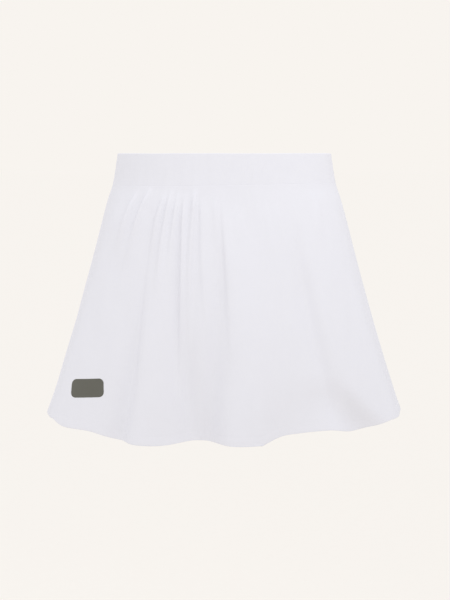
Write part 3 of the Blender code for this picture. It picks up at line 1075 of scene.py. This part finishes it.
@dataclass
class SkirtPanel(Half):
    """The front or back panel: gathered at the top, turned in and stitched at the hem."""

    cloth: bpy.types.Material
    thickness: float = 0.0003
    columns: int = 356
    tuck: float = 0.0012  # how far its top edge goes up inside the waistband
    tuck_depth: float = 0.0008
    tuck_height: float = 0.0011  # how far it takes to come out from under the band
    tuck_start: float = 0.8  # where it begins to come out, as a part of the tuck
    tuck_rows: int = 3
    hem_turn: float = 0.012
    hem_radius: float = 0.00038
    fold_rows: int = 7  # round the fold of the hem
    turn_rows: int = 10  # up the turned edge
    stitch_rise: float = 0.010  # from the hem up to its stitches
    stitch_dent: float = 0.00010
    stitch_dent_width: float = 0.0012
    stitch_margin: float = 0.6  # degrees that the stitches keep off the side seams
    stitch_points: int = 700
    stitch_lift: float = 0.00004
    hem_puff: float = 0.00008  # the turned hem stands out a little
    puff_edge: float = 0.002  # how far above the edge it takes to stand out
    puff_top: float = 0.008  # where it begins to die away
    puff_fade: float = 0.005
    row_steps: tuple[tuple[float, float], ...] = (  # how far down, and how far it is to the next row there
        (0.0, 0.0007),
        (0.006, 0.0013),
        (0.05, 0.0022),
        (0.12, 0.0036),
        (0.24, 0.0038),
        (0.28, 0.0022),
        (0.30, 0.0011),
    )

    def body_rows(self) -> Array:
        """Shares of the way from the top edge to the hem, closer together at the gathers and the hem.

        Returns:
            The shares, from 0 to 1.
        """
        downs, steps = zip(*self.row_steps)
        rows = [0.0]
        while rows[-1] < downs[-1]:
            rows.append(rows[-1] + float(np.interp(rows[-1], downs, steps)))
        return np.asarray(rows) / rows[-1]

    def hem_relief(self, above_hem: Array) -> Array:
        """The puffed hem and the dent of its stitches, by the height above the edge.

        Args:
            above_hem: how far above the edge each point is, in metres.

        Returns:
            How far they push the cloth out, in metres.
        """
        puff = self.hem_puff * ease(above_hem / self.puff_edge)
        puff *= 1 - ease((above_hem - self.puff_top) / self.puff_fade)
        dent = -self.stitch_dent * np.exp(-(((above_hem - self.stitch_rise) / self.stitch_dent_width) ** 2))
        return puff + dent

    def grid(self) -> Array:
        """Lays out the cloth: down the outside, round the fold of the hem and up the turned edge.

        Returns:
            Points halfway through the cloth, in rows down and columns round.
        """
        angles = self.form.columns(self.side, self.columns)
        seam = self.form.seam_drop(angles)
        bottom = self.form.hem_drop(angles) - self.thickness / 2 - self.hem_radius
        body = self.body_rows()[:, None]
        drops = seam + body * (bottom - seam)
        tucked = np.linspace(1, 0, self.tuck_rows + 1)[:-1, None]
        drops = np.concatenate((seam - tucked * self.tuck, drops))
        middle = -self.thickness / 2
        out_of_band = ease((drops - seam + self.tuck_start * self.tuck) / self.tuck_height)
        under_band = self.tuck_depth * (1 - out_of_band)
        outs = middle - under_band + self.hem_relief(bottom + self.hem_radius - drops)
        bend = np.linspace(0, math.pi, self.fold_rows + 2)[1:-1, None]
        fold_drops = bottom + self.hem_radius * np.sin(bend)
        fold_outs = middle - self.hem_radius * (1 - np.cos(bend)) + 0 * bottom
        turn = np.linspace(0, 1, self.turn_rows)[:, None]
        turn_drops = bottom - turn * (self.hem_turn - self.hem_radius)
        turn_outs = np.full_like(turn_drops, middle - 2 * self.hem_radius)
        drops = np.concatenate((drops, fold_drops, turn_drops))
        outs = np.concatenate((outs, fold_outs, turn_outs))
        points = self.form.cloth_point(angles[None, :], drops, outs)
        points[..., 1] -= self.form.off_seam(self.side)
        return points

    def build(self) -> bpy.types.Object:
        """Makes the panel in place of its solid.

        Returns:
            The panel.
        """
        grid = self.grid()
        mesh = shell_mesh(f"{self.name}_panel", grid, self.thickness, flat_cut(grid, grid.shape[1] // 2))
        piece = object_from(f"{self.name}_panel", mesh, self.cloth)
        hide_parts(f"skirt_{self.name}")
        return piece

    def hem_stitches(self, thread: SewingThread) -> bpy.types.Object:
        """The row of stitches that holds the hem, outside and inside.

        Args:
            thread: what sews them.

        Returns:
            Both sides of the row, as one piece.
        """
        angles = self.side.angles(90 - self.stitch_margin, self.stitch_points)
        drop = self.form.hem_drop(angles) - self.stitch_rise
        outside = float(self.hem_relief(np.asarray(self.stitch_rise))) + self.stitch_lift
        inside = -self.thickness - 2 * self.hem_radius - self.stitch_lift
        lines = []
        for out in (outside, inside):
            points = self.form.cloth_point(angles, drop, np.full_like(drop, out))
            further = self.form.cloth_point(angles, drop, np.full_like(drop, out + PROBE))
            points[:, 1] -= self.form.off_seam(self.side)
            further[:, 1] -= self.form.off_seam(self.side)
            lines.append({"points": points, "outward": (further - points) / PROBE})
        return thread.sew(f"{self.name}_hem_stitches", thread.row_tree, lines)


@dataclass
class Waistband(Half):
    """Half of the waistband: jersey folded over its elastic, round at the top and sewn to the skirt."""

    jersey: bpy.types.Material
    wall: float = 0.0022  # both layers and the elastic between them
    thickness: float = 0.00055  # of the jersey
    columns: int = 280
    roll_depth: float = 0.0001
    roll_height: float = 0.0008
    inner_roll: float = 0.6  # how deep the roll is inside, beside the outside
    rows: int = 34
    over_rows: int = 13  # over the top of the elastic
    top_wave: float = 0.00025  # how much the top edge rises and falls
    top_beats: tuple[Beat, ...] = (Beat(5.0, phase=0.8), Beat(13.0, share=0.6))
    ripple_height: float = 0.00012  # the faint ripple of the elastic under the jersey
    ripple_length: float = 0.021
    ripple_radius: float = 0.12  # about how far from the middle the band is
    ripple_beats: tuple[Beat, ...] = (
        Beat(1.0, slant=1.3),
        Beat(0.43, phase=2.0, share=0.7),
        Beat(1.7, share=0.5, slant=-1.0),
    )

    def unevenness(self, angles: Array, share: Array) -> Array:
        """The faint ripple of the elastic, by the angle and the share of the way down.

        Args:
            angles: round the body, in degrees.
            share: of the way from the top edge down to the seam.

        Returns:
            How far it pushes the jersey out, in metres.
        """
        turns = np.radians(angles) * self.ripple_radius / self.ripple_length * 2 * math.pi
        wander = ripple(turns, self.ripple_beats, share)
        return self.ripple_height * wander * np.sin(math.pi * np.clip(share, 0, 1))

    def grid(self) -> Array:
        """Lays out the jersey: up the inside, over the elastic and down the outside.

        Returns:
            Points halfway through the jersey, in rows down the outside and columns round.
        """
        angles = self.form.columns(self.side, self.columns)
        bottom = self.form.seam_drop(angles) - self.form.seam_gap / 2
        half = self.thickness / 2
        radius = self.wall / 2 - half
        crest = self.top_wave * ripple(np.radians(angles), self.top_beats) / 2
        start = radius + half + self.top_wave + crest
        share = 0.5 - 0.5 * np.cos(math.pi * np.linspace(0, 1, self.rows)[:, None])
        outer_drops = start + share * (bottom - start)
        roll = self.roll_depth * ease(1 - (bottom - outer_drops) / self.roll_height)
        outer_outs = -half - roll + self.unevenness(angles[None, :], share)
        bend = np.linspace(0, math.pi, self.over_rows + 2)[-2:0:-1, None]
        over_drops = start - radius * np.sin(bend)
        over_outs = -half - radius * (1 - np.cos(bend)) + 0 * bottom
        inner_drops = outer_drops[::-1]
        inner_outs = -half - 2 * radius + self.inner_roll * roll[::-1]
        drops = np.concatenate((inner_drops, over_drops, outer_drops))
        outs = np.concatenate((inner_outs, over_outs, outer_outs))
        points = self.form.cloth_point(angles[None, :], drops, outs)
        points[..., 1] -= self.form.off_seam(self.side)
        return points

    def build(self) -> bpy.types.Object:
        """Makes the band in place of its solid.

        Returns:
            The band.
        """
        grid = self.grid()
        mesh = shell_mesh(f"{self.name}_band", grid, self.thickness, flat_cut(grid, grid.shape[1] // 2))
        piece = object_from(f"{self.name}_band", mesh, self.jersey)
        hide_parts(f"waistband_{self.name}")
        return piece


@dataclass
class SeamAllowances:
    """The cut edges inside the skirt, overlocked: round the waist, and down both sides."""

    form: ClothForm
    cloth: bpy.types.Material
    width: float = 0.0085
    steps: int = 9  # across each strip
    thread_lift: float = 0.0001  # between the overlock thread and the strip
    waist_out: float = -0.0015  # from the cloth's outer surface to the strip's middle
    waist_slope: float = 0.0006  # how much further in its lower edge lies
    waist_thickness: float = 0.0009
    waist_reach: float = 89.6  # degrees from the middle of each half to its ends
    waist_off: float = 3.0  # how far it stands off the side seams' middle, beside its half
    waist_columns: int = 330
    waist_wave: float = 0.0004  # the gathered edges don't lie flat
    waist_waves: int = 84
    waist_beats: tuple[Beat, ...] = (Beat(1.0), Beat(0.37, phase=1.1, share=0.6))
    side_out: float = -0.00068  # from the cloth's outer surface to the strip's middle
    side_thickness: float = 0.0005
    side_rows: int = 150
    side_gap: float = 0.0004  # from the seam's middle to the strip
    side_start: float = 0.004  # how far below the waist seam a side allowance starts
    side_end: float = 0.0125  # how far above the hem it ends, where the turned hem covers it

    def strip(self, name: str, grid: Array, thickness: float) -> bpy.types.Object:
        """One strip of cut edges as a piece.

        Args:
            name: the piece's name.
            grid: points halfway through it, in rows down and columns round.
            thickness: of both layers of cloth.

        Returns:
            The strip.
        """
        mesh = shell_mesh(name, grid, thickness, flat_cut(grid, grid.shape[1] // 2))
        piece = object_from(name, mesh, self.cloth)
        return piece

    @staticmethod
    def edge_line(edge: Array, inner: Array, inward: Array, lift: float) -> dict[str, Array]:
        """The path of an overlocked edge.

        Args:
            edge: points along the cut edge.
            inner: the matching points a little way into the strip.
            inward: the matching points a little further inside the skirt.
            lift: how far the thread lies off the middle of the strip.

        Returns:
            The points and the direction across the strip, as the overlock tree reads them.
        """
        across = inner - edge
        across /= np.linalg.norm(across, axis=1, keepdims=True)
        off = inward - edge
        off /= np.linalg.norm(off, axis=1, keepdims=True)
        return {"points": edge + off * lift, "across": across}

    def waist(self, side: Side, thread: SewingThread) -> list[bpy.types.Object]:
        """The allowance of the waist seam in one half, and its overlocked edge.

        Args:
            side: the half.
            thread: what sews the edge.

        Returns:
            The strip and its thread.
        """
        angles = side.angles(self.waist_reach, self.waist_columns)
        top = self.form.seam_drop(angles) + self.form.seam_gap
        share = np.linspace(0, 1, self.steps)[:, None]
        turns = np.radians(angles)[None, :] * self.waist_waves
        highest = sum(beat.share for beat in self.waist_beats)
        wave_out = self.waist_wave * share * ripple(turns, self.waist_beats) / highest
        drops = top + share * self.width
        outs = self.waist_out + wave_out - self.waist_slope * share
        grid = self.form.cloth_point(angles[None, :], drops, outs)
        further = self.form.cloth_point(angles, drops[-1], outs[-1] - PROBE)
        for points in (grid, further):
            points[..., 1] -= self.waist_off * self.form.off_seam(side)
        strip = self.strip(f"{side.word}_waist_allowance", grid, self.waist_thickness)
        lift = self.waist_thickness / 2 + self.thread_lift
        line = self.edge_line(grid[-1], grid[-3], further, lift)
        return [strip, thread.sew(f"{side.word}_waist_overlock", thread.edge_tree, [line])]

    def side_seam(self, at: float, name: str, thread: SewingThread) -> list[bpy.types.Object]:
        """The allowance of one side seam, pressed to the back, and its overlocked edge.

        Args:
            at: the seam's angle, 90 or 270.
            name: what the pieces' names start with.
            thread: what sews the edge.

        Returns:
            The strip and its thread.
        """
        towards_back = 1.0 if at < 180 else -1.0
        seam = np.asarray(at)
        first = self.form.seam_drop(seam) + self.side_start
        last = self.form.hem_drop(seam) - self.side_end
        drops = np.linspace(float(first), float(last), self.side_rows)[:, None]
        radius = self.form.plain_radius(np.full_like(drops, at), drops)
        share = np.linspace(0, 1, self.steps)[None, :]
        across = self.side_gap + share * (self.width - self.side_gap)
        angles = at + towards_back * np.degrees(across / radius)
        outs = np.full_like(angles, self.side_out)
        grid = self.form.cloth_point(angles, drops + 0 * angles, outs)
        further = self.form.cloth_point(angles, drops + 0 * angles, outs - PROBE)
        for points in (grid, further):
            points[..., 1] -= self.form.off_seam(Side.BACK)
        if towards_back < 0:
            grid, further = grid[:, ::-1], further[:, ::-1]
        strip = self.strip(f"{name}_side_allowance", grid, self.side_thickness)
        edge, inner = (-1, -3) if towards_back > 0 else (0, 2)
        lift = self.side_thickness / 2 + self.thread_lift
        line = self.edge_line(grid[:, edge], grid[:, inner], further[:, edge], lift)
        return [strip, thread.sew(f"{name}_side_overlock", thread.edge_tree, [line])]


@dataclass
class TransferMark:
    """A plain rectangle of film with round corners, pressed on the front panel near the hem."""

    form: ClothForm
    film: bpy.types.Material
    angle: float = -54.8
    drop: float = 0.283
    width: float = 0.040
    height: float = 0.022
    corner: float = 0.006
    rise: float = 0.09  # how far it rises towards the middle, for each metre across
    lean: float = 0.18  # how far it goes towards the middle, for each metre down, to square its corners
    thickness: float = 0.00014
    clearance: float = 0.00003  # between the film and the cloth
    columns: int = 64
    rows: int = 36

    def build(self) -> bpy.types.Object:
        """Makes the film from the points of the panel under it.

        Returns:
            The film.
        """
        radius = float(self.form.plain_radius(np.asarray(self.angle), np.asarray(self.drop)))
        down = -self.height / 2 * np.cos(np.linspace(0, math.pi, self.rows + 1))[:, None]
        into_corner = np.maximum(0.0, np.abs(down) - (self.height / 2 - self.corner))
        reach = self.width / 2 - self.corner + np.sqrt(np.maximum(self.corner**2 - into_corner**2, 0.0))
        across = reach * np.linspace(-1, 1, self.columns + 1)[None, :]
        angles = self.angle + np.degrees((across + self.lean * down) / radius)
        drops = self.drop + down - across * self.rise
        outs = np.full_like(angles, self.thickness / 2 + self.clearance)
        grid = self.form.cloth_point(angles, drops, outs)
        grid[..., 1] -= self.form.off_seam(Side.FRONT)
        flat = np.stack((across, -(down + 0 * across)), axis=-1)
        piece = object_from("film_mark", shell_mesh("film_mark", grid, self.thickness, flat), self.film)
        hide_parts("transfer_mark")
        return piece


class Lamp(NamedTuple):
    """Where a lamp's light comes from, and how broad it is."""

    power: float
    height: float  # degrees above level
    side: float  # degrees round to the right from straight in front
    size: float  # degrees across for a far lamp, metres for a near one

    def turn(self) -> tuple[float, float, float]:
        """The rotation that points the lamp at the skirt."""
        return (math.radians(90 - self.height), 0.0, math.radians(self.side))

    def place(self, distance: float) -> tuple[float, float, float]:
        """The point at that distance from the skirt, on the lamp's side.

        Args:
            distance: from the origin, in metres.

        Returns:
            The point.
        """
        height, side = math.radians(self.height), math.radians(self.side)
        level = distance * math.cos(height)
        return (level * math.sin(side), -level * math.cos(side), distance * math.sin(height))


@dataclass
class Studio:
    """A pale floor, soft light from above and from all round, and the camera in front."""

    camera_place: tuple[float, float, float] = (0.00076, -2.2, 0.0195)
    camera_pitch: float = 4.833  # degrees down from level
    lens: float = 104.30
    sensor_width: float = 36.0
    sight: float = 400.0  # how far the camera sees, which is past the edge of the floor
    floor_drop: float = 1.0  # the floor, about a waist's height below the band
    floor_reach: float = 90.0
    backdrop: str = "F8F4EF"
    sky: float = 0.894  # the even light from all round
    softbox: Lamp = Lamp(power=0.60, height=50.0, side=50.0, size=0.8)
    ceiling: Lamp = Lamp(power=0.333, height=60.0, side=-80.0, size=40.0)
    front: Lamp = Lamp(power=0.136, height=30.0, side=0.0, size=40.0)
    softbox_distance: float = 1.1
    softbox_spread: float = 80.0
    lamp_colour: tuple[float, float, float] = (0.985, 0.99, 1.0)

    def camera(self) -> None:
        """The camera, level with the waistband and tipped a little down."""
        camera = bpy.data.cameras.new("camera")
        camera.lens = self.lens
        camera.sensor_width = self.sensor_width
        camera.clip_end = self.sight
        holder = bpy.data.objects.new("camera", camera)
        holder.location = self.camera_place
        holder.rotation_euler = (math.radians(90 - self.camera_pitch), 0, 0)
        bpy.context.scene.collection.objects.link(holder)
        bpy.context.scene.camera = holder

    def lights(self) -> None:
        """A near softbox at the upper right, two broad far lamps, and even light from all round."""
        near = bpy.data.lights.new("softbox", "AREA")
        near.size, near.shape, near.spread = self.softbox.size, "DISK", math.radians(self.softbox_spread)
        lamps = [(near, self.softbox)]
        for name, lamp in (("ceiling", self.ceiling), ("front", self.front)):
            far = bpy.data.lights.new(name, "SUN")
            far.angle = math.radians(lamp.size)
            lamps.append((far, lamp))
        for light, lamp in lamps:
            light.energy, light.color = lamp.power, self.lamp_colour
            holder = bpy.data.objects.new(light.name, light)
            holder.location, holder.rotation_euler = lamp.place(self.softbox_distance), lamp.turn()
            holder.visible_camera = False
            bpy.context.scene.collection.objects.link(holder)
        world = bpy.data.worlds.new("studio")
        world.use_nodes = True
        tree = world.node_tree
        tree.nodes.clear()
        seen = add_node(tree, "ShaderNodeLightPath").outputs["Is Camera Ray"]
        around = add_node(tree, "ShaderNodeBackground", {"Color": (1, 1, 1, 1), "Strength": self.sky})
        behind = add_node(tree, "ShaderNodeBackground", {"Color": linear(self.backdrop), "Strength": 1.0})
        both = add_node(tree, "ShaderNodeMixShader", {0: seen, 1: around.outputs[0], 2: behind.outputs[0]})
        add_node(tree, "ShaderNodeOutputWorld", {"Surface": both.outputs[0]})
        bpy.context.scene.world = world

    def floor(self) -> None:
        """A wide plain floor."""
        reach, height = self.floor_reach, -self.floor_drop
        signs = ((-1, -1), (1, -1), (1, 1), (-1, 1))
        corners = [(reach * x, reach * y, height) for x, y in signs]
        mesh = bpy.data.meshes.new("studio_floor")
        mesh.from_pydata(corners, [], [(0, 1, 2, 3)])
        object_from("studio_floor", mesh, STUDIO_PAPER.material())

    def build(self) -> None:
        """Sets up the studio."""
        self.camera()
        self.lights()
        self.floor()
        bpy.context.scene.view_settings.view_transform = "Standard"


@dataclass
class TennisSkirt:
    """The whole skirt, sewn together from its sub-assemblies."""

    form: ClothForm = field(default_factory=ClothForm)

    def finish_piece(self, piece: bpy.types.Object) -> bpy.types.Object:
        """Lets a finished piece ride on the skirt's body, and reports it.

        Args:
            piece: the piece.

        Returns:
            The same piece.
        """
        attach(piece, "root")
        LOG.info("%s: %d faces", piece.name, len(piece.data.polygons))
        return piece

    def build(self) -> None:
        """Builds all the pieces, and logs how many faces each has."""
        cloth, jersey = SKIRT_CLOTH.material(), BAND_JERSEY.material()
        thread = SewingThread(SEWING_THREAD.material())
        allowances = SeamAllowances(self.form, cloth)
        # Each half is built with the allowance of one side seam as well as its own.
        for side, at, name in ((Side.FRONT, 90.0, "right"), (Side.BACK, 270.0, "left")):
            band = self.finish_piece(Waistband(side, self.form, jersey).build())
            panel = SkirtPanel(side, self.form, cloth)
            piece = self.finish_piece(panel.build())
            extras = [panel.hem_stitches(thread), *allowances.waist(side, thread)]
            extras += allowances.side_seam(at, name, thread)
            for extra in extras:
                self.finish_piece(extra)
            if side is Side.FRONT:
                mark = TransferMark(self.form, TRANSFER_FILM.material()).build()
                extras.append(self.finish_piece(mark))
            band.name


def main() -> None:
    """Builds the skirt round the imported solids, and the studio round the skirt."""
    logging.basicConfig(level=logging.INFO, format="%(message)s", stream=sys.stdout)
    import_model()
    Studio().build()
    TennisSkirt().build()


if __name__ == "__main__":
    main()
